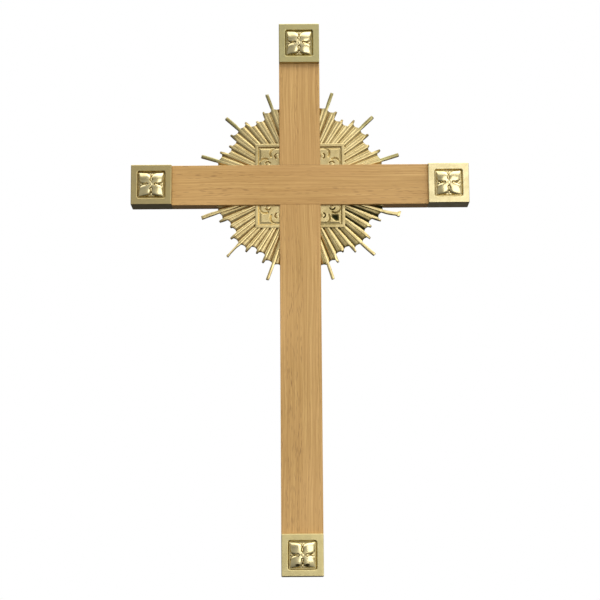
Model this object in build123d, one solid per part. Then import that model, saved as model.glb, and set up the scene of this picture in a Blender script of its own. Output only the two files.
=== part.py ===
"""Wall-hung altar cross: two half-lapped oak members, brass end caps, and a cast brass sunburst.

All sizes are in millimetres. Everything is modelled with the cross lying on its back: X to the
right, Y towards the top of the cross and Z towards the viewer, with z = 0 on the back face and
x = y = 0 at the middle of the crossing. save() stands each piece upright, so that in the files
+Z is up, the front looks along -Y and the back face lies on y = 0.
"""

from math import cos, radians, sin
import os

from build123d import *

# Overall cross
HEIGHT = 604.0
WIDTH = 368.0
CROSSING_HEIGHT = 422.0  # middle of the crossbar above the bottom end
MEMBER = 44.5  # width of both oak members
THICKNESS = 19.0  # depth of both oak members
EASED_EDGE = 0.5  # round on the long edges of the oak

# End caps
CAP_LENGTH = 44.5
CAP_PROUD = 5.0  # how far a cap's front stands out from the oak
CAP_WALL = 1.6
CAP_ROUND = 0.9  # on the outside edges of the front
CAP_CORNER = 0.8  # on the edges that run from front to back
CAP_BACK_ROUND = 0.4
WELL_SIZE = 28.6  # square recess in the front of a cap, at its floor
WELL_DEPTH = 4.0
WELL_DRAFT = 12.0  # degrees that the recess walls lean outwards
WELL_FLOOR = 1.5
WELL_CORNER = 1.2  # round in the corners of the recess
WELL_LIP = 1.0  # round on the mouth of the recess
WELL_FILLET = 0.5  # where the recess walls meet its floor
TENON_CLEARANCE = 0.15

# Rosettes
ROSETTE_SIZE = 26.8
ROSETTE_BASE = 1.4
ROSETTE_HEIGHT = 7.0
NAIL_RADIUS = 1.5
NAIL_LENGTH = 13.0

# Sunburst: an ellipse a little wider than it is high
SQUASH = 0.967  # height over width
PLATE_BACK = 9.5  # height of the casting's back above the cross's back face
PLATE = 5.0
RAY_STEP = 6.67  # degrees from one ray to the next
LONG_TIP, MEDIUM_TIP, SHORT_TIP = 114.0, 97.0, 90.5
RAY_TIPS = {0: LONG_TIP, 1: MEDIUM_TIP, 2: SHORT_TIP, 3: MEDIUM_TIP, 4: LONG_TIP}
LONG_HALF, MEDIUM_HALF, SHORT_HALF = 1.05, 0.95, 0.8  # degrees
RAY_HALVES = {0: LONG_HALF, 1: MEDIUM_HALF, 2: SHORT_HALF, 3: MEDIUM_HALF, 4: LONG_HALF}
GROOVE_SHIFT = 2.13  # degrees from a ray to the groove beside it, towards the crossbar
GROOVE_FLARE = 0.0235  # radius of a groove over its distance from the middle
GROOVE_GAP = 0.4  # from the panel's edge to the round end of a groove
HIGH_NOTCH, LOW_NOTCH = 93.3, 87.6  # where the plate ends beside long and beside short rays
OAK_NOTCH = 94.5  # where it ends beside the oak
NOTCH_SCOOP = 1.4  # how far the end of the plate curves inwards between two rays

# Square panel in the middle of the sunburst
PANEL_X, PANEL_Y = 48.9, 47.1  # half sizes
PANEL_BORDER = 3.4
PANEL_FLOOR, PANEL_PAD, PANEL_RIM = 13.7, 14.7, 15.5  # heights above the cross's back face
PANEL_SEAM = 1.3  # groove between the border and the pad
BOSS_RADIUS = 2.1

# How the sunburst is held in the oak
WOOD_GAP = 0.1
TONGUE, TONGUE_THICK = 4.8, 3.0
SLIT = 5.0  # depth of the slits in the oak that take the tongues
SLIT_SLACK = 0.05
UPRIGHT_SLIT_END, CROSSBAR_SLIT_END = 89.3, 92.2
PIN_RADIUS, PIN_LENGTH, PIN_PLACE = 0.8, 14.0, 60.0

# Fixings
FIXING_CLEARANCE = 0.05
CAP_SCREW = {"head": 2.7, "shank": 1.3, "length": 11.0}
LAP_SCREW = {"head": 3.4, "shank": 1.7, "length": 15.0}
HANGER_SCREW = {"head": 2.9, "shank": 1.4, "length": 12.0}
CAP_SCREW_OFFSET = 10.0
LAP_SCREW_OFFSET = 11.0

# Keyhole hanger, on the back of the upright between the crossing and the top cap
HANGER_Y = 95.0
HANGER_WIDTH, HANGER_LENGTH, HANGER_THICK = 16.0, 48.0, 1.6
HANGER_SCREW_PITCH = 36.0
KEYHOLE_RADIUS = 4.75
KEYHOLE_DROP = 5.0  # keyhole's centre below the plate's centre
SLOT_WIDTH, SLOT_RISE = 5.0, 11.0
POCKET_WIDTH, POCKET_DEPTH = 14.4, 8.0
POCKET_END = 6.0  # past the centres of the keyhole and of the slot's top

HALF = MEMBER / 2
CAP_HEIGHT = THICKNESS + CAP_PROUD
TOP = HEIGHT - CROSSING_HEIGHT
BOTTOM = -CROSSING_HEIGHT
SIDE = WIDTH / 2
PLATE_FRONT = PLATE_BACK + PLATE
TONGUE_FRONT = PLATE_BACK + TONGUE_THICK
WELL_BOTTOM = CAP_HEIGHT - WELL_DEPTH
# The ends of the cross: the angle that turns the top end there, and the end's distance from the crossing.
ENDS = {"top": (0, TOP), "right": (-90, SIDE), "bottom": (180, -BOTTOM), "left": (90, SIDE)}
QUARTERS = {"upper_right": (1, 1), "upper_left": (-1, 1), "lower_left": (-1, -1), "lower_right": (1, -1)}


def block(x0, x1, y0, y1, z0, z1):
    """A box between the given limits."""
    middle = Pos((x0 + x1) / 2, (y0 + y1) / 2, (z0 + z1) / 2)
    return middle * Box(x1 - x0, y1 - y0, z1 - z0)


def rod(x, y, z0, z1, radius):
    return Pos(x, y, (z0 + z1) / 2) * Cylinder(radius, z1 - z0)


def at_end(name, shape):
    """Puts a shape that was made round the top end's middle, at y = 0, on the named end."""
    angle, reach = ENDS[name]
    return Rot(0, 0, angle) * Pos(0, reach - CAP_LENGTH / 2, 0) * shape


def screw(size, grow=0.0):
    """A slotted countersunk screw, head down on z = 0. With grow it is the hole for one."""
    head, shank = size["head"] + grow, size["shank"] + grow
    cone = head - shank
    tip = shank
    length = size["length"] + grow
    profile = Polyline(
        (0, 0), (head, 0), (shank, cone), (shank, length - tip), (0.2, length), (0, length), close=True
    )
    body = revolve(make_face(Plane.XZ * profile), Axis.Z)
    if grow:
        return body
    return body - block(-head, head, -0.35, 0.35, 0, cone * 0.5)


# --- oak ---------------------------------------------------------------------


def oak_member(low, high, notch, slit_end):
    """A member along Y whose ends are at low and high: tenons for the caps, the notch of the half
    lap, given as its limits in z, and slits in both sides for the sunburst."""
    shoulder_low, shoulder_high = low + CAP_LENGTH, high - CAP_LENGTH
    body = block(-HALF, HALF, shoulder_low, shoulder_high, 0, THICKNESS)
    body = fillet(body.edges().filter_by(Axis.Y), EASED_EDGE)
    body = chamfer(body.faces().filter_by(Axis.Y).edges(), EASED_EDGE / 2)
    tenon = HALF - CAP_WALL - TENON_CLEARANCE
    reach = CAP_WALL + TENON_CLEARANCE
    body += block(
        -tenon, tenon, low + reach, high - reach, reach, WELL_BOTTOM - WELL_FLOOR - TENON_CLEARANCE
    )
    body -= block(-HALF, HALF, -HALF, HALF, *notch)
    for side in (-1, 1):
        for end in (-1, 1):
            x0, x1 = sorted((side * HALF, side * (HALF - SLIT)))
            y0, y1 = sorted((end * HALF, end * slit_end))
            body -= block(x0, x1, y0, y1, PLATE_BACK - SLIT_SLACK, TONGUE_FRONT + SLIT_SLACK)
            hole = PIN_RADIUS + FIXING_CLEARANCE
            body -= rod(side * (HALF - TONGUE / 2), end * PIN_PLACE, 0, PIN_LENGTH + 0.1, hole)
    return body


def cap_fixing_holes(member, names):
    """Holes in a member's tenons for the rosette nails and the screws in the backs of the caps."""
    nail = rod(0, 0, WELL_BOTTOM - NAIL_LENGTH - 0.1, WELL_BOTTOM, NAIL_RADIUS + FIXING_CLEARANCE)
    back = Pos(0, -CAP_SCREW_OFFSET, 0) * screw(CAP_SCREW, FIXING_CLEARANCE)
    for name in names:
        member = member - at_end(name, nail) - at_end(name, back)
    return member


def lap_screws(grow=0.0):
    places = [(-LAP_SCREW_OFFSET, LAP_SCREW_OFFSET), (LAP_SCREW_OFFSET, -LAP_SCREW_OFFSET)]
    return [Pos(x, y, 0) * screw(LAP_SCREW, grow) for x, y in places]


def hanger_screws(grow=0.0):
    places = [HANGER_Y - HANGER_SCREW_PITCH / 2, HANGER_Y + HANGER_SCREW_PITCH / 2]
    return [Pos(0, y, 0) * screw(HANGER_SCREW, grow) for y in places]


def make_upright():
    upright = oak_member(BOTTOM, TOP, (THICKNESS / 2, THICKNESS), UPRIGHT_SLIT_END)
    upright = cap_fixing_holes(upright, ("top", "bottom"))
    seat = Pos(0, HANGER_Y) * SlotOverall(HANGER_LENGTH + 0.2, HANGER_WIDTH + 0.2, rotation=90)
    upright -= extrude(seat, HANGER_THICK + SLIT_SLACK)
    pocket_low = HANGER_Y - KEYHOLE_DROP - POCKET_END
    pocket_high = HANGER_Y - KEYHOLE_DROP + SLOT_RISE + POCKET_END
    upright -= block(
        -POCKET_WIDTH / 2, POCKET_WIDTH / 2, pocket_low, pocket_high, 0, POCKET_DEPTH
    )
    for hole in lap_screws(FIXING_CLEARANCE) + hanger_screws(FIXING_CLEARANCE):
        upright -= hole
    return upright


def make_crossbar():
    crossbar = oak_member(-SIDE, SIDE, (0, THICKNESS / 2), CROSSBAR_SLIT_END)
    crossbar = cap_fixing_holes(Rot(0, 0, -90) * crossbar, ("left", "right"))
    for hole in lap_screws(FIXING_CLEARANCE):
        crossbar -= hole
    return crossbar


# --- end caps and rosettes ------------------------------------------------------


def make_cap():
    """A box closed at its outer end, y = CAP_LENGTH / 2, with a square well in its front."""
    half = CAP_LENGTH / 2
    cap = block(-HALF, HALF, -half, half, 0, CAP_HEIGHT)
    cap = fillet(cap.edges().filter_by(Axis.Z), CAP_CORNER)
    cap = fillet(cap.faces().sort_by(Axis.Z)[-1].edges(), CAP_ROUND)
    cap = fillet(cap.faces().sort_by(Axis.Z)[0].edges(), CAP_BACK_ROUND)
    well_outline = Pos(0, 0, WELL_BOTTOM) * RectangleRounded(WELL_SIZE, WELL_SIZE, WELL_CORNER)
    cap -= extrude(well_outline, WELL_DEPTH, taper=-WELL_DRAFT)
    lip = cap.faces().sort_by(Axis.Z)[-1].inner_wires()[0].edges()
    cap = fillet(lip, WELL_LIP)
    well_floor = cap.faces().filter_by(lambda face: abs(face.center().Z - WELL_BOTTOM) < 0.01)[0]
    cap = fillet(well_floor.edges(), WELL_FILLET)
    cavity_top = WELL_BOTTOM - WELL_FLOOR
    cap -= block(-HALF + CAP_WALL, HALF - CAP_WALL, -half, half - CAP_WALL, CAP_WALL, cavity_top)
    cap -= rod(0, 0, cavity_top, WELL_BOTTOM, NAIL_RADIUS + FIXING_CLEARANCE)
    return cap - Pos(0, -CAP_SCREW_OFFSET, 0) * screw(CAP_SCREW, FIXING_CLEARANCE)


def leaf(inner, outer, width):
    """A leaf outline along +Y from inner to outer, widest past its middle."""
    widest = inner + (outer - inner) * 0.62
    right = ThreePointArc((0, inner), (width * 0.36, inner + (widest - inner) * 0.45), (width / 2, widest))
    top = ThreePointArc((width / 2, widest), (width * 0.33, outer - (outer - widest) * 0.3), (0, outer))
    left = mirror(Curve([right, top]), Plane.YZ)
    return make_face(Curve([right, top] + left.edges()))


def pyramid(base, top, low, high):
    return loft([Pos(0, 0, low) * Rectangle(base, base), Pos(0, 0, high) * Rectangle(top, top)])


def make_rosette():
    """A square stud: four leaves towards its corners and four small sepals between them, cut
    from a low pyramid."""
    size, base, height = ROSETTE_SIZE, ROSETTE_BASE, ROSETTE_HEIGHT
    stud = Pos(0, 0, base / 2) * Box(size, size, base)
    stud = chamfer(stud.faces().sort_by(Axis.Z)[-1].edges(), base * 0.4)
    stud += pyramid(size * 0.84, size * 0.16, base, height - 1.6)
    leaf_crown = pyramid(size * 0.96, size * 0.24, base, height)
    sepal_crown = pyramid(size * 0.9, size * 0.2, base, height - 0.8)
    for quarter in range(4):
        petal = extrude(leaf(0.6, size * 0.655, size * 0.5), height)
        stud += Rot(0, 0, 45 + 90 * quarter) * petal & leaf_crown
        sepal = extrude(leaf(size * 0.12, size * 0.47, size * 0.15), height)
        stud += Rot(0, 0, 90 * quarter) * sepal & sepal_crown
    stud += extrude(Rectangle(size * 0.24, size * 0.24, rotation=45), height - 0.2)
    return stud


# --- sunburst ---------------------------------------------------------------------


def on_burst(angle, radius):
    """A point of the sunburst, from its angle in degrees and its radius before the squash."""
    return (radius * cos(radians(angle)), SQUASH * radius * sin(radians(angle)))


def panel_radius(angle):
    """The radius at which a ray leaves the square panel."""
    return min(PANEL_X / cos(radians(angle)), PANEL_Y / (SQUASH * sin(radians(angle))))


def notch_radius(gap):
    """Where the plate ends in a gap between two rays, counted in ray steps from the diagonal."""
    if abs(gap) > 4:
        return OAK_NOTCH
    return LOW_NOTCH if 1 < abs(gap) < 3 else HIGH_NOTCH


def plate_outline():
    """The plate of one quarter: stepped rays round the outside, square edges against the oak."""
    start = HALF + WOOD_GAP
    edges = []
    last = (notch_edge_x(start), start)
    edges.append(Line((start, start), last))
    for ray in range(-4, 5):
        angle = 45 + ray * RAY_STEP
        half, tip = RAY_HALVES[abs(ray)], RAY_TIPS[abs(ray)]
        before, after = notch_radius(ray - 0.5), notch_radius(ray + 0.5)
        foot = on_burst(angle - half, before)
        scoop = on_burst(angle - RAY_STEP / 2, before - NOTCH_SCOOP)
        edges.append(Line(last, foot) if ray == -4 else ThreePointArc(last, scoop, foot))
        corners = [foot, on_burst(angle - half, tip), on_burst(angle + half, tip)]
        last = on_burst(angle + half, after)
        edges.append(Polyline(*corners, last))
    end = (start, notch_edge_y(start))
    edges.append(Line(last, end))
    edges.append(Line(end, (start, start)))
    return make_face(Curve(edges).edges())


def notch_edge_x(y):
    """Where the plate's outer edge meets the face of the crossbar."""
    return OAK_NOTCH * (1 - (y / (SQUASH * OAK_NOTCH)) ** 2) ** 0.5


def notch_edge_y(x):
    """Where the plate's outer edge meets the face of the upright."""
    return SQUASH * OAK_NOTCH * (1 - (x / OAK_NOTCH) ** 2) ** 0.5


def groove(angle, inner, outer):
    """A half-round channel in the front of the casting, widening outwards from a round inner end."""
    small, big = GROOVE_FLARE * inner, GROOVE_FLARE * outer
    start = Vector(*on_burst(angle, inner), PLATE_FRONT)
    run = Vector(*on_burst(angle, outer), PLATE_FRONT) - start
    cone = Pos(0, 0, run.length / 2) * Cone(small, big, run.length)
    return [Plane(origin=start, z_dir=run) * cone, Pos(*start) * Sphere(small)]


def make_panel():
    """The corner of the square panel: floor, raised border, corner pad and two bosses."""
    start = HALF + WOOD_GAP
    inner_x, inner_y = PANEL_X - PANEL_BORDER, PANEL_Y - PANEL_BORDER
    panel = block(start, PANEL_X, start, PANEL_Y, PLATE_BACK, PANEL_RIM)
    panel -= block(start, inner_x, start, inner_y, PANEL_FLOOR, PANEL_RIM)
    corner_x, corner_y = inner_x - PANEL_SEAM, inner_y - PANEL_SEAM
    near_x, near_y = corner_x - 11.6, corner_y - 10.2
    sides = [
        Polyline((near_x, corner_y), (corner_x, corner_y), (corner_x, near_y)),
        ThreePointArc((corner_x, near_y), (corner_x - 6, near_y + 1.2), (near_x + 1.4, near_y + 1.2)),
        ThreePointArc((near_x + 1.4, near_y + 1.2), (near_x + 1.4, near_y + 5.6), (near_x, corner_y)),
    ]
    outline = make_face(Curve(sides).edges())
    panel += extrude(Pos(0, 0, PANEL_FLOOR) * outline, PANEL_PAD - PANEL_FLOOR)
    for x, y in ((start + BOSS_RADIUS + 0.2, 33.4), (35.2, start + BOSS_RADIUS + 0.2)):
        panel += rod(x, y, PANEL_FLOOR, PANEL_RIM, BOSS_RADIUS)
    return panel


def make_sunburst_quarter():
    """The upper right quarter of the sunburst, with the tongues that sit in the oak's slits."""
    start = HALF + WOOD_GAP
    quarter = extrude(Pos(0, 0, PLATE_BACK) * plate_outline(), PLATE)
    for ray in range(-4, 6):
        angle = 45 + ray * RAY_STEP - GROOVE_SHIFT
        inner = (panel_radius(angle) + GROOVE_GAP) / (1 - GROOVE_FLARE)
        for part in groove(angle, inner, OAK_NOTCH + 2):
            quarter -= part
    quarter -= block(start, PANEL_X, start, PANEL_Y, PLATE_BACK, PLATE_FRONT)
    quarter += make_panel()
    inner = HALF - TONGUE
    for side in (0, 1):
        end = (notch_edge_y(start), notch_edge_x(start))[side]
        tongue = block(inner, start, start + 0.2, end - 0.2, PLATE_BACK, TONGUE_FRONT)
        pin = rod(HALF - TONGUE / 2, PIN_PLACE, 0, THICKNESS, PIN_RADIUS + FIXING_CLEARANCE)
        tongue -= pin
        quarter += mirror(tongue, Plane(origin=(0, 0, 0), z_dir=(1, -1, 0))) if side else tongue
    return quarter


def sunburst_pins():
    """Two panel pins for each quarter, driven from the back of each member."""
    along = HALF - TONGUE / 2
    places = [(x, y) for x in (-along, along) for y in (-PIN_PLACE, PIN_PLACE)]
    places += [(y, x) for x, y in places]
    return [rod(x, y, 0.05, PIN_LENGTH, PIN_RADIUS) for x, y in places]


# --- hanger --------------------------------------------------------------------------


def make_hanger():
    """A flush keyhole plate. The round hole is below and the slot runs up from it."""
    middle = Pos(0, HANGER_Y)
    plate = extrude(middle * SlotOverall(HANGER_LENGTH, HANGER_WIDTH, rotation=90), HANGER_THICK)
    hole_y = HANGER_Y - KEYHOLE_DROP
    plate -= rod(0, hole_y, 0, HANGER_THICK, KEYHOLE_RADIUS)
    half = SLOT_WIDTH / 2
    plate -= block(-half, half, hole_y, hole_y + SLOT_RISE, 0, HANGER_THICK)
    plate -= rod(0, hole_y + SLOT_RISE, 0, HANGER_THICK, half)
    for hole in hanger_screws(FIXING_CLEARANCE):
        plate -= hole
    return plate


# --- files -----------------------------------------------------------------------------


def save(name, *pieces):
    """Stands the pieces upright and writes them as one file."""
    upright = [Rot(90, 0, 0) * piece for piece in pieces]
    shape = upright[0] if len(upright) == 1 else Compound(children=upright)
    export_step(shape, f"parts/{name}.step")


def main():
    os.makedirs("parts", exist_ok=True)
    save("upright", make_upright())
    save("crossbar", make_crossbar())

    cap, rosette = make_cap(), make_rosette()
    nail = rod(0, 0, WELL_BOTTOM - NAIL_LENGTH, WELL_BOTTOM, NAIL_RADIUS)
    back_screw = Pos(0, -CAP_SCREW_OFFSET, 0) * screw(CAP_SCREW)
    for name in ENDS:
        save(f"cap_{name}", at_end(name, cap))
        save(f"rosette_{name}", at_end(name, Pos(0, 0, WELL_BOTTOM) * rosette))
    save("rosette_nails", *[at_end(name, nail) for name in ENDS])
    save("cap_screws", *[at_end(name, back_screw) for name in ENDS])

    quarter = make_sunburst_quarter()
    for name, (right, up) in QUARTERS.items():
        piece = quarter if right > 0 else mirror(quarter, Plane.YZ)
        piece = piece if up > 0 else mirror(piece, Plane.XZ)
        save(f"sunburst_{name}", piece)
    save("sunburst_pins", *sunburst_pins())

    save("lap_screws", *lap_screws())
    save("hanger_plate", make_hanger())
    save("hanger_screws", *hanger_screws())


main()
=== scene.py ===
"""Looks of the wall-hung altar cross: lacquered oak, satin brass caps, polished cast rosettes and
a cast brass sunburst.

Shapes are worked out in millimetres as (x, z, front): x to the right, z up from the middle of the
crossing, and front the height above the back face, towards the viewer. place() turns such a point
into the frame's metres.
"""

from math import atan2, ceil, cos, degrees, hypot, pi, radians, sin
from random import Random
from typing import NamedTuple

import bmesh
import bpy
from mathutils import Matrix, Vector


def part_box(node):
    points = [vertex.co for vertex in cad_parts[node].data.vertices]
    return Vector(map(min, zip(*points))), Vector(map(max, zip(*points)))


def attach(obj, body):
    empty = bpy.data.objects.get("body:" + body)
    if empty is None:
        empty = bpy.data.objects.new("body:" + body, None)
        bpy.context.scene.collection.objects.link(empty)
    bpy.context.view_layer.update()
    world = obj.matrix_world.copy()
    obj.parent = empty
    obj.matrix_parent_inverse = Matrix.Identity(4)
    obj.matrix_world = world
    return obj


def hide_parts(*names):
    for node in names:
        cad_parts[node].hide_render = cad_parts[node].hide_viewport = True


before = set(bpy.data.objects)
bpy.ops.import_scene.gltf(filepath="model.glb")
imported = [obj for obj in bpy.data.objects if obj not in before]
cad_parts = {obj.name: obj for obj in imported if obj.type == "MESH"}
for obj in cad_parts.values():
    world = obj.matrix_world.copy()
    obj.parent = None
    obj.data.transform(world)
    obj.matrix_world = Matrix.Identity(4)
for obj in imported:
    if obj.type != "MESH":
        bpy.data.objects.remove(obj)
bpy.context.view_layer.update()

MM = 0.001
SHARP = radians(50)  # faces that meet at more than this angle keep a crisp edge
BACK_CAVITY = 0.3  # the dull backs of the castings
BODY = "root"
ENDS = ("top", "right", "bottom", "left")
QUARTERS = {"upper_right": (1, 1), "upper_left": (-1, 1), "lower_left": (-1, -1), "lower_right": (1, -1)}


def node_box(name):
    """The (low, high) limits of a CAD node as (x, z, front), in millimetres."""
    low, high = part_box(name)
    return (low.x / MM, low.z / MM, -high.y / MM), (high.x / MM, high.z / MM, -low.y / MM)


HALF = node_box("upright")[1][0]  # half the width of an oak member
CAP_FRONT = node_box("cap_top")[1][2]
WELL_FLOOR = node_box("rosette_top")[0][2]
ROSETTE_HALF, _, ROSETTE_TOP = node_box("rosette_top")[1]
ROSETTE_RISE = ROSETTE_TOP - WELL_FLOOR
ROSETTE_ROOM = 0.25  # kept free on each side of a rosette, so that it can be turned a little
ROSETTE_STEPS = 112

# Places on a rosette, along u or v, which run from -1 to 1 between its sides
CENTRE_DISC = 0.13
BUD, BUD_HEAD, BUD_TAIL = 0.36, 0.085, 0.7  # middle and radius of its head, and end of its tail
SEPAL_START, SEPAL_END = 0.74, 0.985
OUTSIDE = 9.0  # well outside any petal or bud, whose edges are at 1

# Sunburst: an ellipse a little wider than it is high, with the same plate and rays as its solids
SQUASH = 0.967  # height over width
PLATE_BACK, PLATE_FRONT = 9.5, 14.5
RAY_STEP = 6.67  # degrees
SHORT_TIP, MEDIUM_TIP, LONG_TIP = 90.5, 97.0, 114.0
TIP = {0: LONG_TIP, 1: MEDIUM_TIP, 2: SHORT_TIP, 3: MEDIUM_TIP, 4: LONG_TIP}  # by steps from the diagonal
HIGH_NOTCH, LOW_NOTCH, OAK_NOTCH = 93.3, 87.6, 94.5  # radius of the plate's edge between two rays
NOTCH_SCOOP = 1.4  # how far that edge curves inwards
FILM_START = 88.0  # radius from which a greenish film covers the rays
UNDER_PANEL = 1.2  # how far the fan goes on under the panel's edge
FINE_STEP, FINE_STEPS, COARSE_STEPS = 0.45, 12, 24  # points along the fan, closer near the panel
BAR_STEP = 1.5  # points along a ray past the plate
TIP_WEAR = 0.7  # length of the worn end of a ray
OAK_GAP = 0.1
TONGUE, TONGUE_FRONT = 4.8, 12.5
TONGUE_ENDS = ((88.0, False), (91.0, True))  # upright, and lying in the crossbar, inside the slits
OVERLAP = 0.15  # by which a tongue runs into the plate

# The square panel in the middle of the sunburst, whose relief is finer than its solids'
PANEL_X, PANEL_Z = 48.9, 47.1
PANEL_BORDER = 3.4
PANEL_LEVEL, PANEL_RIM = 14.7, 15.3
MOULDING = PANEL_BORDER + 1.0  # the deepest line of the moulding, in from the panel's edge
MOULDING_DEPTH, LOBE_DEPTH, MOAT_DEPTH, POCKET_DEPTH = 1.0, 1.15, 1.2, 1.5
LOBES = ((26.3, 36.2, -44, 100), (38.3, 24.5, -10, 134))  # x, z, and the arc's first and last degree
LOBE_RADIUS, LOBE_CUT, LOBE_FADE = 6.1, 1.15, 12  # half the cut's width, and degrees to its full depth
BOSSES = ((24.6, 33.4, (1, 0)), (35.0, 24.3, (0, 1)))  # x, z, and the way its moat faces
BOSS_RADIUS, MOAT_RADIUS = 2.1, 3.5

# Across one ray's share of the fan, in steps from the ray's own line: a groove, the ray, a shallow
# crease, and a broad flute that runs up to the next groove.
GROOVE_START, RAY_HALF = -0.53, 0.135
DEEPEST = 0.08  # where a groove is deepest, from -1 at the flute to 1 at the ray
GROOVE_MIDDLE = (GROOVE_START - RAY_HALF) / 2
GROOVE_HALF = (-RAY_HALF - GROOVE_START) / 2
CREASE, CREASE_END = 0.175, 0.27
ACROSS_GROOVE = (-1, -0.9, -0.7, -0.45, -0.2, 0, 0.2, 0.45, 0.7, 0.9)
GROOVE_PLACES = [GROOVE_MIDDLE + GROOVE_HALF * t for t in ACROSS_GROOVE]
RAY_PLACES = [RAY_HALF * t for t in (-1, -0.9, -0.5, 0, 0.5, 0.9, 1)]
FLUTE_PLACES = [0.155, CREASE, 0.2, 0.235, CREASE_END, 0.33, 0.39, 0.44]


class Chasing(NamedTuple):
    """How one quarter of the sunburst was finished and has aged, and how light or dark its brass is
    painted.
    """

    crease: float  # depth of the creases, which also paints shade into them
    flutes: float  # darkening of the flutes
    grooves: float  # painted shade and patina in the grooves
    rods: float  # darkening of all rays past the plate
    points: float  # more of it on the short ones
    film: float  # greenish film past the plate
    tone: float  # how light this quarter's brass is painted: painted light and shade
    deep: tuple  # colour of the patina and painted shade in the grooves
    crossbar_shade: float = 0.0  # painted shade, near black, in the grooves on the crossbar's side of the diagonal
    panel: float = 0.0  # painted darkening of the square panel, standing in for a dark reflection


CHASING = {
    "upper_right": Chasing(
        crease=0.5, flutes=0.15, grooves=0.85, rods=0.4, points=0.35, film=0.7, tone=0.83,
        deep=(0.19, 0.125, 0.04),
    ),
    "upper_left": Chasing(
        crease=0.05, flutes=0.36, grooves=0.9, rods=0.3, points=0.3, film=0.7, tone=0.86,
        deep=(0.20, 0.12, 0.035),
    ),
    "lower_left": Chasing(
        crease=0.9, flutes=0.42, grooves=1.05, rods=0.25, points=0.1, film=0.15, tone=1.10,
        deep=(0.20, 0.11, 0.033),
    ),
    "lower_right": Chasing(
        crease=0.7, flutes=0.7, grooves=1.3, rods=0.08, points=0.15, film=0.2, tone=1.05,
        deep=(0.12, 0.095, 0.025), crossbar_shade=1.5, panel=0.36,
    ),
}


class Slip(NamedTuple):
    """A ray that a slip of the mould left thin or bent."""

    width: float  # times a ray's usual width
    bend: float  # degrees
    blob: float  # width of the blob at its tip, times the ray's


SLIPS = {("lower_left", 0): Slip(0.55, 0.5, 1.5), ("lower_right", -4): Slip(1.15, -1.5, 1.9)}


class Pocket(NamedTuple):
    """A deep three-cornered pocket that the casting left in a panel, painted near black inside as shade."""

    x: float
    z: float
    half_width: float
    half_height: float


POCKETS = {"lower_right": Pocket(38.0, 36.2, 5.0, 4.4)}


def place(x, z, front):
    return Vector((x * MM, -front * MM, z * MM))


def rosette_centre(end):
    low, high = node_box(f"rosette_{end}")
    return (low[0] + high[0]) / 2, (low[1] + high[1]) / 2


def smooth(low, high, value):
    """0 below low, 1 above high and a smooth step between."""
    t = min(1.0, max(0.0, (value - low) / (high - low)))
    return t * t * (3 - 2 * t)


def dome(t):
    """A round hump: 1 at t = 0 and 0 at t = 1, with steep sides."""
    return max(0.0, 1 - min(1.0, abs(t)) ** 2.4) ** 0.5


# --- node trees -------------------------------------------------------------


class Tree:
    """A node tree, with short calls for adding nodes."""

    def __init__(self, tree):
        self.tree = tree
        tree.nodes.clear()

    def add(self, kind, inputs=None, **settings):
        node = self.tree.nodes.new("ShaderNode" + kind)
        for name, value in settings.items():
            setattr(node, name, value)
        for key, value in (inputs or {}).items():
            if isinstance(value, bpy.types.NodeSocket):
                self.tree.links.new(value, node.inputs[key])
            else:
                node.inputs[key].default_value = value
        return node

    def math(self, operation, first, second=0.0, clamp=False):
        node = self.add("Math", {0: first, 1: second}, operation=operation, use_clamp=clamp)
        return node.outputs[0]

    def noise(self, vector, scale, detail=3.0, roughness=0.55, distortion=0.0):
        inputs = {"Vector": vector, "Scale": scale, "Detail": detail, "Roughness": roughness}
        inputs["Distortion"] = distortion
        return self.add("TexNoise", inputs).outputs["Fac"]

    def length(self, vector):
        return self.add("VectorMath", {0: vector}, operation="LENGTH").outputs["Value"]

    def split(self, vector):
        return tuple(self.add("SeparateXYZ", {0: vector}).outputs)

    def stretch(self, vector, scale):
        return self.add("Mapping", {"Vector": vector, "Scale": scale}).outputs[0]

    def span(self, value, low, high, out_low=0.0, out_high=1.0):
        """Maps low..high of value to out_low..out_high, clamped."""
        inputs = {"Value": value, "From Min": low, "From Max": high, "To Min": out_low, "To Max": out_high}
        return self.add("MapRange", inputs).outputs[0]

    def mix(self, factor, first, second, blend="MIX"):
        node = self.add("Mix", data_type="RGBA", blend_type=blend)
        for socket, value in zip((0, 6, 7), (factor, first, second)):
            if isinstance(value, bpy.types.NodeSocket):
                self.tree.links.new(value, node.inputs[socket])
            else:
                node.inputs[socket].default_value = value
        return node.outputs[2]

    def bump(self, height, distance, strength=1.0, normal=None):
        inputs = {"Height": height, "Distance": distance, "Strength": strength}
        if normal is not None:
            inputs["Normal"] = normal
        return self.add("Bump", inputs).outputs[0]

    def finish(self, **inputs):
        """The surface shader and the output. Names are the shader's sockets, with _ for a space."""
        named = {name.replace("_", " "): value for name, value in inputs.items()}
        shader = self.add("BsdfPrincipled", named)
        self.add("OutputMaterial", {"Surface": shader.outputs[0]})


def material(name):
    made = bpy.data.materials.new(name)
    made.use_nodes = True
    return made, Tree(made.node_tree)


def colour(red, green, blue):
    return (red, green, blue, 1.0)


def tinted(parts, tint):
    return colour(*(part * share for part, share in zip(parts, tint)))


# --- materials ----------------------------------------------------------------


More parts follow.
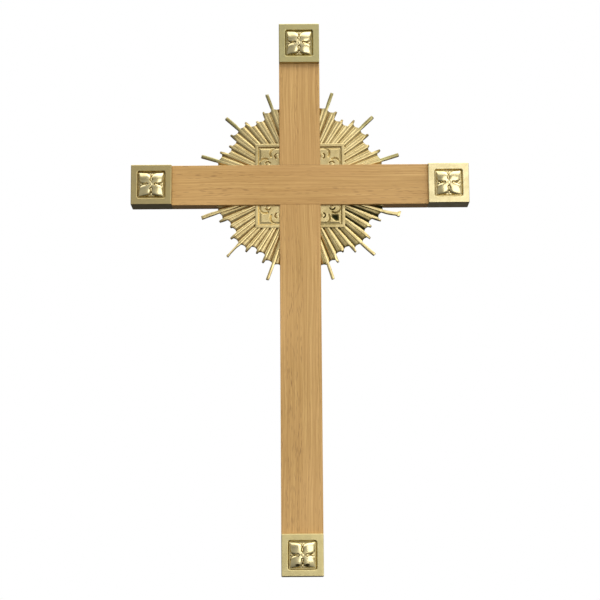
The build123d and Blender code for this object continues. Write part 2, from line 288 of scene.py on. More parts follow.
def oak(name, along, offset):
    """Straight-grained lacquered oak, with its grain along the X or the Z axis, and a little darker
    round the joint at the origin. The offset gives each member its own stretch of grain."""
    made, tree = material(name)
    place_of = tree.add("TexCoord").outputs["Object"]
    x, y, z = tree.split(place_of)
    across, length = (x, z) if along == "Z" else (z, x)
    shifted = tree.math("ADD", length, offset)
    grain = tree.add("CombineXYZ", {0: across, 1: y, 2: shifted}).outputs[0]
    drift = tree.noise(tree.stretch(grain, (14, 14, 5)), 1.0, 2.0)
    bent = tree.math("ADD", across, tree.math("MULTIPLY", tree.math("SUBTRACT", drift, 0.5), 0.012))
    grain = tree.add("CombineXYZ", {0: bent, 1: y, 2: shifted}).outputs[0]

    bands = tree.noise(tree.stretch(grain, (105, 60, 1.6)), 1.0, 3.0, 0.6)
    streaks = tree.noise(tree.stretch(grain, (460, 260, 5)), 1.0, 4.0, 0.65)
    threads = tree.noise(tree.stretch(grain, (1050, 900, 13)), 1.0, 3.0, 0.65)
    patches = tree.noise(tree.stretch(grain, (30, 30, 9)), 1.0, 2.0)

    early, late = colour(0.54, 0.325, 0.104), colour(0.645, 0.412, 0.15)
    base = tree.mix(tree.span(bands, 0.34, 0.66), early, late)
    base = tree.mix(tree.span(streaks, 0.38, 0.62), colour(0.437, 0.246, 0.073), base)
    base = tree.mix(tree.span(threads, 0.36, 0.6, 0.8, 0.0), base, colour(0.372, 0.202, 0.056))
    base = tree.mix(tree.span(patches, 0.35, 0.65, 0.0, 0.3), base, colour(0.65, 0.384, 0.15))

    cells = tree.add("TexVoronoi", {"Vector": tree.stretch(grain, (1000, 850, 75)), "Scale": 1.0})
    pore = tree.span(cells.outputs["Distance"], 0.14, 0.34, 1.0, 0.0)
    banded = tree.math("MULTIPLY", pore, tree.span(bands, 0.40, 0.56, 1.0, 0.15))
    base = tree.mix(tree.math("MULTIPLY", banded, 0.95), base, colour(0.223, 0.113, 0.036))
    from_joint = tree.length(place_of)
    base = tree.mix(tree.span(from_joint, 0.02, 0.1, 0.3, 0.0), base, colour(0.44, 0.235, 0.07))

    height = tree.math("SUBTRACT", tree.math("MULTIPLY", streaks, 0.5), banded)
    normal = tree.bump(height, 0.00008, 0.35)
    rough = tree.span(threads, 0.3, 0.7, 0.5, 0.38)
    tree.finish(
        Base_Color=base, Roughness=rough, Normal=normal, Specular_IOR_Level=0.35,
        Coat_Weight=0.18, Coat_Roughness=0.35,
    )
    return made


def satin_brass(name, tint, centre):
    """Lacquered brass of a box cap: fine brushing, faint tarnish, and a slight wave in the sheet.
    A lower tint paints the cap darker, as painted light and shade for how brightly it shines. The walls
    of the square well, whose centre is given as (x, z), are painted darker: some tarnish, and painted
    shade in the recess."""
    made, tree = material(name)
    place_of = tree.add("TexCoord").outputs["Object"]
    waves = tree.noise(place_of, 42.0, 2.0, 0.5)
    tarnish = tree.noise(place_of, 95.0, 5.0, 0.62, 0.4)
    brushed = tree.noise(tree.stretch(place_of, (2600, 2600, 240)), 1.0, 3.0, 0.7)
    specks = tree.noise(place_of, 1300.0, 2.0, 0.6)
    bright = tinted((0.82, 0.69, 0.345), tint)
    dull = tinted((0.72, 0.585, 0.265), tint)
    base = tree.mix(tree.span(tarnish, 0.35, 0.75), bright, dull)
    base = tree.mix(tree.span(specks, 0.66, 0.78, 0.0, 0.4), base, colour(0.42, 0.30, 0.12))

    x, y, z = tree.split(place_of)
    off_x = tree.math("ABSOLUTE", tree.math("SUBTRACT", x, centre[0] * MM))
    off_z = tree.math("ABSOLUTE", tree.math("SUBTRACT", z, centre[1] * MM))
    off = tree.math("MAXIMUM", off_x, off_z)
    # Painted shade, with some tarnish: the walls inside the well, below the cap's front, are darkened.
    below_front = tree.span(y, -(CAP_FRONT - 0.9) * MM, -(CAP_FRONT - 1.7) * MM)
    well_tarnish_and_shade = tree.span(off, (ROSETTE_HALF + 4) * MM, (ROSETTE_HALF + 5) * MM, 0.2, 0.0)
    base = tree.mix(tree.math("MULTIPLY", below_front, well_tarnish_and_shade), base, colour(0.26, 0.19, 0.07))

    rough = tree.span(tarnish, 0.3, 0.75, 0.25, 0.36)
    rough = tree.math("ADD", rough, tree.math("MULTIPLY", brushed, 0.05))
    wavy = tree.bump(waves, 0.0006, 0.5)
    normal = tree.bump(brushed, 0.00002, 0.4, wavy)
    tree.finish(Base_Color=base, Metallic=1.0, Roughness=rough, Normal=normal)
    return made


def cast_brass(name, bright, low_rough, patina, deep, film=0.0):
    """Polished cast brass. The mesh's cavity attribute says how deep a place lies: the deeper
    places are painted darker and duller, and past 1 nearly black, as painted shade with some patina.
    The film is a greenish tarnish on what stands out past the sunburst's plate."""
    made, tree = material(name)
    place_of = tree.add("TexCoord").outputs["Object"]
    cavity = tree.add("Attribute", attribute_name="cavity").outputs["Fac"]
    clouds = tree.noise(place_of, 120.0, 3.0, 0.55, 0.4)
    grit = tree.noise(place_of, 1100.0, 2.0, 0.5)
    depth = tree.math("ADD", cavity, tree.span(clouds, 0.3, 0.7, -0.1, 0.1))
    base = tree.mix(tree.span(clouds, 0.3, 0.75), bright, patina)
    if film:
        past_plate = tree.span(tree.length(place_of), FILM_START * MM, MEDIUM_TIP * MM, 0.0, film)
        base = tree.mix(past_plate, base, colour(0.34, 0.34, 0.15))
    # Painted shade, with some patina: deep places take the deep colour, and past 1.1 turn near black.
    base = tree.mix(tree.span(depth, 0.25, 0.95, 0.0, 0.95), base, deep)
    base = tree.mix(tree.span(depth, 1.1, 1.6), base, colour(0.02, 0.022, 0.008))
    rough = tree.span(depth, 0.2, 1.0, low_rough, 0.5)
    rough = tree.math("ADD", rough, tree.span(grit, 0.3, 0.7, 0.0, 0.05))
    soft = tree.bump(clouds, 0.0004, 0.3)
    normal = tree.bump(grit, 0.00001, 0.5, soft)
    tree.finish(Base_Color=base, Metallic=1.0, Roughness=rough, Normal=normal)
    return made


def plain_metal(name, shade, low_rough, grain=900.0):
    """Small fixings: turned or plated metal with a fine grain."""
    made, tree = material(name)
    place_of = tree.add("TexCoord").outputs["Object"]
    turned = tree.noise(place_of, grain, 3.0, 0.6)
    dull = tree.noise(place_of, 130.0, 3.0, 0.6)
    base = tree.mix(tree.span(dull, 0.35, 0.7), colour(*shade), tinted(shade, (0.72, 0.72, 0.72)))
    rough = tree.span(dull, 0.3, 0.7, low_rough, low_rough + 0.14)
    tree.finish(Base_Color=base, Metallic=1.0, Roughness=rough, Normal=tree.bump(turned, 0.00002, 0.5))
    return made


def dress(name, made):
    """Gives a CAD node its material."""
    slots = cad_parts[name].data.materials
    slots.clear()
    slots.append(made)


# --- meshes -------------------------------------------------------------------------


def make_piece(name, shell, made, node):
    """A finished object from a bmesh, standing for a CAD node."""
    for face in shell.faces:
        face.smooth = True
    for edge in shell.edges:
        edge.smooth = len(edge.link_faces) == 2 and edge.calc_face_angle() < SHARP
    mesh = bpy.data.meshes.new(name)
    shell.to_mesh(mesh)
    shell.free()
    mesh.materials.append(made)
    piece = bpy.data.objects.new(name, mesh)
    bpy.context.scene.collection.objects.link(piece)
    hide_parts(node)
    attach(piece, BODY)
    return piece


def relief(shell, columns, back, cavity_layer):
    """Adds a closed block to a bmesh. Its front is a grid of (x, z, front, cavity) points given as
    columns that may differ in length: neighbouring columns are joined as far as both go. Its
    back is the same grid laid flat at the given height, and walls join the two round the rim."""
    fronts, backs = [], []
    for column in columns:
        front_line, back_line = [], []
        for x, z, front, cavity in column:
            over = shell.verts.new(place(x, z, front))
            over[cavity_layer] = cavity
            under = shell.verts.new(place(x, z, back))
            under[cavity_layer] = BACK_CAVITY
            front_line.append(over)
            back_line.append(under)
        fronts.append(front_line)
        backs.append(back_line)

    walls = {}  # a wall for each edge of the front, or None where two faces share the edge
    for i in range(len(columns) - 1):
        for j in range(min(len(fronts[i]), len(fronts[i + 1])) - 1):
            corners = [(i, j), (i, j + 1), (i + 1, j + 1), (i + 1, j)]
            overs = [fronts[column][point] for column, point in corners]
            unders = [backs[column][point] for column, point in corners]
            shell.faces.new(overs)
            shell.faces.new(unders[::-1])
            for side in range(4):
                following = (side + 1) % 4
                edge = frozenset((overs[side], overs[following]))
                wall = (overs[following], overs[side], unders[side], unders[following])
                walls[edge] = None if edge in walls else wall
    for wall in walls.values():
        if wall:
            shell.faces.new(wall)
    loose = [vert for vert in shell.verts if not vert.link_faces]
    bmesh.ops.delete(shell, geom=loose, context="VERTS")


# --- rosettes -------------------------------------------------------------------------


def petal_width(t):
    """Half the width of a petal, t of the way from the middle (0) to its tip in the corner (1)."""
    if t <= 0 or t >= 1:
        return 0.0
    bounds = (0.93 * t, 0.39, 0.99 * (1 - t) ** 1.03)
    return sum(bound**-6 for bound in bounds) ** (-1 / 6)  # the least of them, with rounded corners


def petal(along, aside, width, edge):
    """(height, cavity) of a petal, which swells between the middle and its tip, and falls off
    roundly on both sides."""
    share = aside / width
    crown = 6.5 - 0.4 * max(0.0, 1 - along / 0.4) ** 2 - 3.3 * max(0.0, (along - 0.35) / 0.65) ** 2.1
    fall = (width / 0.36) * (0.7 * share**2 + 1.5 * share**6)
    fall *= 0.15 + 0.85 * smooth(0.06, 0.35, along)
    return crown - fall, 0.5 * smooth(0.84, 1.0, share) * smooth(0.98, 0.85, edge)


def with_bud(far, near, height, cavity):
    """Sets a bud with a round head near the middle and a tail outwards, in a shallow moat."""
    head = hypot(near, far - BUD) / BUD_HEAD
    tail_width = 0.075 * (1 - smooth(BUD, BUD_TAIL, far)) + 0.012
    tail = near / tail_width if BUD < far < BUD_TAIL else OUTSIDE
    off = min(head, tail)
    rise = 5.2 - 2.2 * far
    if off < 1.0:
        return rise + 0.8 * dome(off), 0.45 * (1 - dome(off))
    moat, moat_cavity = rise - 0.6, 0.85
    blend = smooth(1.25, 1.6, off)
    return moat + (height - moat) * blend, moat_cavity + (cavity - moat_cavity) * blend


def with_sepal(far, near, height, cavity):
    """Sets a small pointed sepal between two petals, at the middle of each side."""
    if SEPAL_START < far < SEPAL_END and height < 4.0:
        off = near / (0.12 * (SEPAL_END - far) / (SEPAL_END - SEPAL_START) + 0.004)
        if off < 1.0:
            top = 2.7 + 1.0 * dome(off) - 1.2 * smooth(0.9, SEPAL_END, far)
            return max(height, top), 0.3 * (1 - dome(off))
    return height, cavity


def rosette_height(u, v):
    """(height, cavity) of a rosette over the well's floor, u and v running from -1 to 1."""
    u, v = abs(u), abs(v)
    far, near = max(u, v), min(u, v)
    along, aside = (u + v) / 2, abs(u - v) / 2
    width = max(petal_width(along), 0.14 * smooth(0.2, 0.0, along))
    share = aside / width if width else OUTSIDE
    height = 2.4 - 0.9 * smooth(0.97, 1.0, far) + 4.4 * max(0.0, 0.93 - max(0.24, far))
    # Painted shade: the cavity darkens the hollows between the petals, the moats round the buds and the
    # rosette's edge.
    cavity = 0.15 + 0.6 * smooth(1.35, 1.0, share) * smooth(0.95, 0.8, far)
    from_centre = hypot(u, v) / CENTRE_DISC
    if from_centre < 1:
        height, cavity = 5.7 + 0.5 * dome(from_centre), 0.1
    elif share < 1:
        crown, cavity = petal(along, aside, width, far)
        height = max(height, crown)
    height, cavity = with_bud(far, near, height, cavity)
    height, cavity = with_sepal(far, near, height, cavity)
    return height, min(1.0, max(0.0, cavity))


def make_rosette(end, made, tilt, turn, foot_shade):
    """tilt leans the flower a little and turn twists it, as hand-set castings are. The last
    argument paints shade of this strength, blackening the feet of the two lower petals."""
    centre_x, centre_z = rosette_centre(end)
    half = ROSETTE_HALF - ROSETTE_ROOM
    places = [2 * i / ROSETTE_STEPS - 1 for i in range(ROSETTE_STEPS + 1)]
    tallest = max(rosette_height(i / 40, j / 40)[0] for i in range(41) for j in range(41))
    scale = (ROSETTE_RISE - 0.35) / tallest  # leaves room to lean
    shell = bmesh.new()
    cavity_layer = shell.verts.layers.float.new("cavity")
    columns = []
    for u in places:
        column = []
        for v in places:
            height, cavity = rosette_height(u, v)
            # Painted shade under the two lower petals.
            cavity += foot_shade * smooth(1.0, 0.4, hypot((abs(u) - 0.4) / 0.27, (v + 0.78) / 0.13))
            lean = (tilt[0] * u + tilt[1] * v) * smooth(1.0, 0.8, max(abs(u), abs(v)))
            x = half * (u * cos(turn) - v * sin(turn))
            z = half * (u * sin(turn) + v * cos(turn))
            column.append((centre_x + x, centre_z + z, WELL_FLOOR + (height * scale + lean), cavity))
        columns.append(column)
    relief(shell, columns, WELL_FLOOR + 0.02, cavity_layer)
    bmesh.ops.recalc_face_normals(shell, faces=shell.faces)
    return make_piece(f"rosette_{end}_cast", shell, made, f"rosette_{end}")


# --- sunburst ------------------------------------------------------------------------


def panel_radius(angle):
    """The radius at which a ray at this angle leaves the square panel."""
    turn = radians(angle)
    return min(PANEL_X / cos(turn), PANEL_Z / (SQUASH * sin(turn)))


def notch_radius(gap):
    """Where the plate ends in a gap between rays, counted in steps from the diagonal."""
    if abs(gap) > 4:
        return OAK_NOTCH
    return LOW_NOTCH if 1 < abs(gap) < 3 else HIGH_NOTCH


def burst_point(angle, radius, front, cavity):
    """A point of the fan, by its angle in degrees on a circle that is then squashed."""
    turn = radians(angle)
    return (radius * cos(turn), SQUASH * radius * sin(turn), front, cavity)


class Rays:
    """The fan of one quarter, worked out as if it were the upper right one. Its rays are numbered
    from 0 on the diagonal up to 4 beside the upright and down to -4 beside the crossbar. Rays 5
    and -5 lie under the oak, and only the ground beside them shows. Each ray and flute is a
    little different, as hand-chased castings are."""

    def __init__(self, quarter):
        chance = Random(f"sunburst {quarter}")
        self.quarter = quarter
        self.chasing = CHASING[quarter]
        self.tips = {k: TIP.get(abs(k), MEDIUM_TIP) + chance.uniform(-1.2, 0.5) for k in range(-5, 6)}
        self.width = {k: chance.uniform(1.05, 1.25) for k in range(-5, 6)}
        self.bend = {k: chance.uniform(-0.35, 0.35) for k in range(-5, 6)}
        self.ray_level = {k: chance.uniform(-0.2, 0.05) for k in range(-5, 7)}
        self.flute_level = {k: chance.uniform(-0.2, 0.05) for k in range(-6, 6)}
        self.tilt = {k: chance.uniform(-0.2, 0.2) for k in range(-6, 6)}
        self.crease = {k: self.chasing.crease * chance.uniform(0.7, 1.2) for k in range(-6, 6)}
        self.notch = {k: notch_radius(k + 0.5) + chance.uniform(-0.5, 0.5) for k in range(-7, 7)}

    def surface(self, k, at, radius, start):
        """(front, cavity) on the fan, at steps from ray k and radius from the middle. The fan
        starts from the panel at the radius start."""
        if at < -RAY_HALF:
            return self.groove(k, at, radius, start)
        if at > RAY_HALF:
            return self.flute(k, at)
        worn = abs(at / RAY_HALF) ** 3
        return PLATE_FRONT + self.ray_level[k] - 0.12 * worn, 0.1 * worn

    def groove(self, k, at, radius, start):
        """The groove before ray k: a valley with a rounded end near the panel."""
        half = radians(GROOVE_HALF * RAY_STEP) * radius
        across = (at - GROOVE_MIDDLE) / GROOVE_HALF
        climb = (across + 1) / (1 + DEEPEST) if across < DEEPEST else (1 - across) / (1 - DEEPEST)
        round_end = max(0.0, 1 - (radius - start - 1.1) / 0.7)
        inside = max(0.0, 1 - hypot(1 - climb, round_end))
        sunk = 0.8 * half * (inside - 0.08 * inside**4)
        # Painted shade, with some patina: the groove's inside is darkened, and its end by the panel carries
        # a painted shadow of the panel's border.
        panel_shadow = smooth(start + 4.6, start + 2.6, radius) * min(1.0, 2.2 * inside)
        tarnish = self.chasing.grooves * max(0.9 * smooth(0.3, 0.85, inside), panel_shadow)
        # Painted shade, near black, in the grooves beside the crossbar.
        if k < 0:
            tarnish = max(tarnish, self.chasing.crossbar_shade * smooth(0.1, 0.5, inside))
        blend = (at - GROOVE_START) / (-RAY_HALF - GROOVE_START)
        level = self.flute_level[k - 1] * (1 - blend) + self.ray_level[k] * blend
        return PLATE_FRONT + level - sunk, tarnish

    def flute(self, k, at):
        """The crease beyond ray k, and the broad flute past it."""
        run = (at - RAY_HALF) / (1 + GROOVE_START - RAY_HALF)
        down = (at - RAY_HALF) / (CREASE - RAY_HALF)
        crease = self.crease[k] * max(0.0, min(down, (CREASE_END - at) / (CREASE_END - CREASE)))
        swell = 0.1 * sin(pi * min(1.0, run)) + self.tilt[k] * (run - 0.5)
        edge = 0.1 * smooth(0.9, 1.0, run)
        front = PLATE_FRONT + self.flute_level[k] + swell - edge - 0.5 * crease
        # The crease is painted darker with its depth: painted shade.
        return front, 0.75 * crease + self.chasing.flutes * smooth(0.0, 0.2, run)

    def end(self, k, at):
        """The radius at which the plate ends beside ray k."""
        before, after = self.notch[k - 1], self.notch[k]
        if at < -RAY_HALF:
            t = (at + 1 - RAY_HALF) / (1 - 2 * RAY_HALF)
            return before - NOTCH_SCOOP * sin(pi * min(1.0, t))
        if at > RAY_HALF:
            t = (at - RAY_HALF) / (1 - 2 * RAY_HALF)
            return after - NOTCH_SCOOP * sin(pi * t)
        return before + (after - before) * (at / RAY_HALF + 1) / 2

    def column(self, k, at):
        """One line of points from the panel outwards."""
        angle = 45 + (k + at) * RAY_STEP
        start = panel_radius(min(89.0, max(1.0, angle))) - UNDER_PANEL
        end = self.end(k, at)
        radii = [start + FINE_STEP * i for i in range(FINE_STEPS)]
        rest = end - radii[-1]
        radii += [radii[-1] + rest * i / COARSE_STEPS for i in range(1, COARSE_STEPS + 1)]
        points = []
        for radius in radii:
            front, cavity = self.surface(k, at, radius, start)
            worn = 0.16 * smooth(end - 0.8, end, radius) ** 2
            # The limit lets the painted shade beside the crossbar pass 1.
            cavity = min(1.0 + self.chasing.crossbar_shade, cavity + 0.3 * smooth(end - 2.5, end, radius))
            points.append(burst_point(angle, radius, front - worn, cavity))
        if abs(at) <= RAY_HALF and abs(k) <= 4:
            points += self.bar(k, at, end)
        return points

    def bar(self, k, at, foot):
        """The part of a ray that stands out past the plate, as a bar with a worn end."""
        wide, bend, blob = SLIPS.get((self.quarter, k), (self.width[k], self.bend[k], 0.0))
        tip = self.tips[k]
        side = abs(at / RAY_HALF)
        short = abs(k) in (1, 2, 3)
        reach = tip - foot
        steps = max(5, ceil(reach / BAR_STEP))
        points = []
        for i in range(1, steps + 1):
            t = i / steps
            radius = foot + reach * t
            width = wide + (1 - wide) * (1 - smooth(0.0, 0.35, t))
            if short:
                width *= 1 - 0.45 * t
            if blob:
                width *= 1 + (blob - 1) * smooth(0.82, 0.9, t) * (1 - smooth(0.95, 1.1, t))
            width *= (foot / radius) ** 0.9
            last = smooth(tip - TIP_WEAR, tip, radius)
            across = at * width * (1 - 0.06 * last * last)
            front = PLATE_FRONT + self.ray_level[k] - 0.3 * side**3 - 0.3 * last * last
            front -= (1.4 if short else 0.15) * t
            angle = 45 + (k + across) * RAY_STEP + bend * t * t
            darkening = (0.3 * side**3 + 0.15 * last + self.chasing.rods) * smooth(0.0, 0.4, t)
            if short:
                darkening += self.chasing.points * smooth(0.05, 0.5, t)
            points.append(burst_point(angle, radius, front, min(1.0, darkening)))
        return points


def make_columns(rays):
    """The fan of one quarter as columns of points."""
    places = GROOVE_PLACES + RAY_PLACES + FLUTE_PLACES
    return [rays.column(k, at) for k in range(-5, 6) for at in places]


def border_height(edge):
    """(height, cavity) of the panel's raised border, this far in from the panel's edge."""
    bevel = 0.25 * (1 - smooth(0.0, 0.6, edge)) ** 2 + 0.15 * smooth(PANEL_BORDER - 0.5, PANEL_BORDER, edge)
    return PANEL_RIM - bevel, 0.1 + 0.4 * smooth(PANEL_BORDER - 0.4, PANEL_BORDER, edge)


def with_lobes(x, z, height, cavity):
    """Cuts an arc round each lobe, fading out at both of its ends."""
    for lobe_x, lobe_z, low, high in LOBES:
        aside, angle = hypot(x - lobe_x, z - lobe_z), degrees(atan2(z - lobe_z, x - lobe_x))
        cut = abs(aside - LOBE_RADIUS) / LOBE_CUT
        if cut < 1 and low < angle < high:
            fade = min(1.0, (angle - low) / LOBE_FADE, (high - angle) / LOBE_FADE)
            sunk = fade * (1 - cut**1.3)
            height, cavity = min(height, PANEL_LEVEL - LOBE_DEPTH * sunk), max(cavity, 0.4 * sunk)
    return height, cavity


def with_bosses(x, z, height, cavity):
    """Sets a low boss by each lobe, with a moat round one side of it."""
    for boss_x, boss_z, way in BOSSES:
        off_x, off_z = x - boss_x, z - boss_z
        off = hypot(off_x, off_z)
        if off < BOSS_RADIUS:
            height, cavity = PANEL_LEVEL + 0.25 * dome(off / BOSS_RADIUS), 0.1
        elif off < MOAT_RADIUS:
            across = (off - BOSS_RADIUS) / (MOAT_RADIUS - BOSS_RADIUS)
            facing = smooth(-0.1, 0.6, (way[0] * off_x + way[1] * off_z) / off)
            sunk = facing * sin(pi * across) ** 0.6
            # The moat is painted near black: painted shade.
            height, cavity = min(height, PANEL_LEVEL - MOAT_DEPTH * sunk), max(cavity, 0.95 * sunk)
    return height, cavity


def with_pocket(x, z, pocket, height, cavity):
    """Sinks a pocket, whose inside is painted near black as shade. Its corner by the upright and far from
    the crossbar is cut off.
    """
    off_x, off_z = (x - pocket.x) / pocket.half_width, (z - pocket.z) / pocket.half_height
    sunk = smooth(1.1, 0.2, max(abs(off_x), abs(off_z), 0.9 * (off_z - off_x) + 0.2))
    return height - POCKET_DEPTH * sunk, max(cavity, 1.5 * sunk)


def panel_height(x, z, pocket):
    """(height, cavity) of the square panel's relief: a border, a round moulding line inside it,
    and cut lines round the lobes of a cross whose arms lie under the oak. Bosses mark the lobes.
    The cavity paints shade into the border's inner edge, the moulding, the cuts and the moats."""
    from_side, from_end = PANEL_X - x, PANEL_Z - z
    edge = min(from_side, from_end)
    if edge < PANEL_BORDER:
        return border_height(edge)
    height, cavity = PANEL_LEVEL, 0.08
    line = (edge - MOULDING) / (1.0 if edge < MOULDING else 2.1)
    if line < 1:
        height = PANEL_LEVEL - MOULDING_DEPTH * (1 - abs(line) ** 1.2)
        # Painted shade: the moulding is darker along the panel's top and bottom than along its sides.
        cavity = (0.6 if from_end < from_side else 0.25) * smooth(0.3, -0.2, line)
    height, cavity = with_lobes(x, z, height, cavity)
    height, cavity = with_bosses(x, z, height, cavity)
    if pocket:
        height, cavity = with_pocket(x, z, pocket, height, cavity)
    return height, cavity


def add_panel(shell, cavity_layer, pocket, darkening):
    """The square panel from the oak outwards, all of it darkened alike by the given amount, a painted
    darker reflection.
    """
    start = HALF + OAK_GAP
    steps_x, steps_z = 100, 92
    columns = []
    for i in range(steps_x + 1):
        x = start + (PANEL_X - start) * i / steps_x
        column = []
        for j in range(steps_z + 1):
            z = start + (PANEL_Z - start) * j / steps_z
            height, cavity = panel_height(x, z, pocket)
            column.append((x, z, height, cavity + darkening))
        columns.append(column)
    relief(shell, columns, PLATE_BACK - 0.1, cavity_layer)


def clip(shell, axis):
    """Cuts off what lies nearer than the oak's side along an axis, and closes the cut."""
    normal = Vector((1, 0, 0)) if axis == "x" else Vector((0, 0, 1))
    point = normal * (HALF + OAK_GAP) * MM
    geometry = shell.verts[:] + shell.edges[:] + shell.faces[:]
    cut = bmesh.ops.bisect_plane(
        shell, geom=geometry, plane_co=point, plane_no=-normal, clear_outer=True, dist=1e-7
    )
    rim = [item for item in cut["geom_cut"] if isinstance(item, bmesh.types.BMEdge)]
    bmesh.ops.triangle_fill(shell, edges=rim, use_beauty=True, use_dissolve=False)


def add_tongues(shell):
    """The flat tongues that the casting has inside the oak's grooves."""
    start, inner = HALF + OAK_GAP + OVERLAP, HALF - TONGUE
    for end, lying in TONGUE_ENDS:
        x, z, width, length = (start + inner) / 2, (start + end) / 2, start - inner, end - start
        if lying:
            x, z, width, length = z, x, length, width
        middle = place(x, z, (PLATE_BACK + TONGUE_FRONT) / 2)
        scale = Matrix.Diagonal((width * MM, (TONGUE_FRONT - PLATE_BACK - 0.02) * MM, length * MM, 1))
        bmesh.ops.create_cube(shell, size=1.0, matrix=Matrix.Translation(middle) @ scale)


def make_sunburst(quarter, signs, made):
    """One quarter, made as the upper right one and mirrored by the signs of its x and z."""
    shell = bmesh.new()
    cavity_layer = shell.verts.layers.float.new("cavity")
    relief(shell, make_columns(Rays(quarter)), PLATE_BACK, cavity_layer)
    clip(shell, "x")
    clip(shell, "z")
    add_panel(shell, cavity_layer, POCKETS.get(quarter), CHASING[quarter].panel)
    add_tongues(shell)
    for vert in shell.verts:
        vert.co.x *= signs[0]
        vert.co.z *= signs[1]
    shell.normal_update()  # the next step starts from normals that the mirroring has made stale
    bmesh.ops.recalc_face_normals(shell, faces=shell.faces)
    return make_piece(f"sunburst_{quarter}_cast", shell, made, f"sunburst_{quarter}")


# --- surroundings -----------------------------------------------------------------------


def make_camera():
    """A long lens a little below the cross and looking up, as the photograph was taken."""
    distance, drop, across = 1.832, -0.457, -0.0008
    pitch, roll = radians(10.29), radians(-0.39)
    forward = Vector((0, cos(pitch), sin(pitch)))
    right = Vector((1, 0, 0))
    up = right.cross(forward)
    rolled_right = cos(roll) * right + sin(roll) * up
    rolled_up = -sin(roll) * right + cos(roll) * up
    turn = Matrix((rolled_right, rolled_up, -forward)).transposed().to_4x4()
    data = bpy.data.cameras.new("camera")
    data.lens = 102.7
    data.sensor_width = 36.0
    camera = bpy.data.objects.new("camera", data)
    camera.matrix_world = Matrix.Translation((across, -distance, drop)) @ turn
    bpy.context.scene.collection.objects.link(camera)
    bpy.context.scene.camera = camera


def soft_light(name, spot, target, size, watts, glossy=True):
    data = bpy.data.lights.new(name, "AREA")
    data.shape = "RECTANGLE"
    data.size, data.size_y = size
    data.energy = watts
    light = bpy.data.objects.new(name, data)
    light.location = spot
    light.rotation_euler = (Vector(target) - Vector(spot)).to_track_quat("-Z", "Y").to_euler()
    light.visible_camera = False
    light.visible_glossy = glossy
    bpy.context.scene.collection.objects.link(light)


def make_world():
    """White behind the object. What lights it and shows in the brass is brighter overhead and to
    the right, and dark only below and behind."""
    world = bpy.data.worlds.new("studio")
    world.use_nodes = True
    tree = Tree(world.node_tree)
    direction = tree.add("TexCoord").outputs["Generated"]
    x, y, z = tree.split(direction)
    ramp = tree.add("ValToRGB", {"Fac": tree.span(z, -1.0, 1.0)})
    stops = ramp.color_ramp.elements
    stops[0].position, stops[0].color = 0.06, colour(0.14, 0.135, 0.12)
    stops[1].position, stops[1].color = 1.0, colour(1.9, 1.9, 1.88)
    heights = (
        (0.18, 0.24), (0.25, 0.38), (0.31, 0.50), (0.42, 0.60), (0.505, 0.60), (0.57, 0.57), (0.64, 0.42),
        (0.75, 0.50), (0.815, 2.3), (0.925, 2.8), (0.955, 2.3),
    )
    for height, shade in heights:
        stops.new(height).color = colour(shade, shade, 0.98 * shade)
    up_to_middle, past_middle = tree.span(x, -0.28, 0.06, 0.67, 1.0), tree.span(x, 0.06, 1.0, 0.0, 0.25)
    towards_right = tree.math("ADD", up_to_middle, past_middle)
    behind = tree.math("ADD", tree.math("MULTIPLY", y, 0.6), tree.math("MULTIPLY", z, -0.8))
    strength = tree.math("MULTIPLY", towards_right, tree.span(behind, 0.22, 0.6, 1.0, 0.16))
    shown = tree.add("LightPath").outputs["Is Camera Ray"]
    lighting = tree.add("Background", {"Color": ramp.outputs[0], "Strength": strength})
    backdrop = tree.add("Background", {"Color": colour(1, 1, 1), "Strength": 1.0})
    mixed = tree.add("MixShader", {0: shown, 1: lighting.outputs[0], 2: backdrop.outputs[0]})
    tree.add("OutputWorld", {"Surface": mixed.outputs[0]})
    bpy.context.scene.world = world


def make_floor():
    """A pale floor well below the cross, which hangs on a wall."""
    made, tree = material("pale_floor")
    place_of = tree.add("TexCoord").outputs["Object"]
    speckle = tree.noise(place_of, 30.0, 3.0)
    base = tree.mix(tree.span(speckle, 0.3, 0.7), colour(0.80, 0.80, 0.79), colour(0.84, 0.84, 0.83))
    tree.finish(Base_Color=base, Roughness=0.8)
    shell = bmesh.new()
    bmesh.ops.create_grid(shell, x_segments=8, y_segments=8, size=4.0)
    mesh = bpy.data.meshes.new("floor")
    shell.to_mesh(mesh)
    shell.free()
    mesh.materials.append(made)
    floor = bpy.data.objects.new("floor", mesh)
    floor.location = (0, 0, -0.95)
    floor.visible_diffuse = False
    floor.visible_glossy = False
    bpy.context.scene.collection.objects.link(floor)


# --- the whole ---------------------------------------------------------------------------

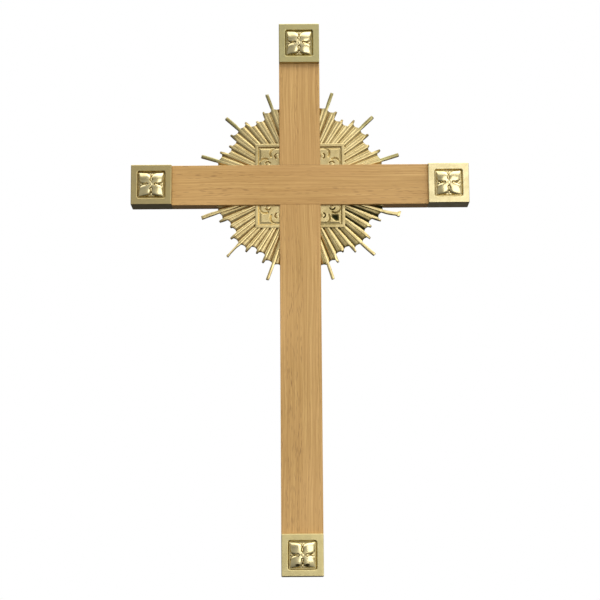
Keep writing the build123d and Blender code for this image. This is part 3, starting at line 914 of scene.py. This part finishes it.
make_camera()
make_world()
make_floor()
soft_light("key", (-0.3, -1.9, 1.9), (0, 0, -0.1), (1.2, 1.2), 17.0, glossy=False)
soft_light("low_fill", (0.3, -2.2, -1.0), (0, 0, -0.1), (1.2, 1.2), 10.0, glossy=False)
soft_light("right_card", (1.0, -2.0, 0.0), (1.0, 0, 0.0), (1.7, 1.5), 12.0)
soft_light("back_fill", (0.6, 1.6, 0.9), (0, 0, -0.1), (1.2, 1.2), 9.0)
bpy.context.scene.view_settings.view_transform = "Standard"

dress("upright", oak("oak_upright", "Z", 0.37))
dress("crossbar", oak("oak_crossbar", "X", 1.9))
# Painted light and shade: each cap's copy of the brass is tinted darker or brighter for how brightly that
# cap shines.
CAP_SHADE_TINTS = {
    "top": (0.73, 0.77, 0.76),
    "right": (0.94, 0.97, 1.12),
    "bottom": (0.84, 0.85, 0.84),
    "left": (0.735, 0.71, 0.68),
}
for end, tint in CAP_SHADE_TINTS.items():
    dress(f"cap_{end}", satin_brass(f"satin_brass_{end}", tint, rosette_centre(end)))
dress("cap_screws", plain_metal("screw_brass", (0.66, 0.50, 0.22), 0.3))
dress("lap_screws", bpy.data.materials["screw_brass"])
steel = plain_metal("nail_steel", (0.50, 0.50, 0.49), 0.35)
dress("rosette_nails", steel)
dress("sunburst_pins", steel)
zinc = plain_metal("zinc_plate", (0.62, 0.63, 0.64), 0.28, 500.0)
dress("hanger_plate", zinc)
dress("hanger_screws", zinc)

polished = cast_brass(
    "polished_brass", colour(0.87, 0.76, 0.45), 0.18, colour(0.80, 0.67, 0.34), colour(0.20, 0.13, 0.045)
)
SETTING = {  # tilt, turn and painted shade at the feet of the lower petals
    "top": ((0.05, -0.10), -0.012, 0.0),
    "right": ((-0.08, 0.06), 0.010, 0.0),
    "bottom": ((0.03, 0.05), 0.006, 1.6),
    "left": ((0.10, 0.04), -0.008, 0.0),
}
for end in ENDS:
    make_rosette(end, polished, *SETTING[end])
for quarter, signs in QUARTERS.items():
    chasing = CHASING[quarter]
    # Painted light and shade: each quarter gets its own lighter or darker copy of the brass.
    tones = (chasing.tone,) * 3
    bright, patina = tinted((0.82, 0.665, 0.335), tones), tinted((0.72, 0.555, 0.245), tones)
    name = f"chased_brass_{quarter}"
    chased = cast_brass(name, bright, 0.27, patina, colour(*chasing.deep), chasing.film)
    make_sunburst(quarter, signs, chased)
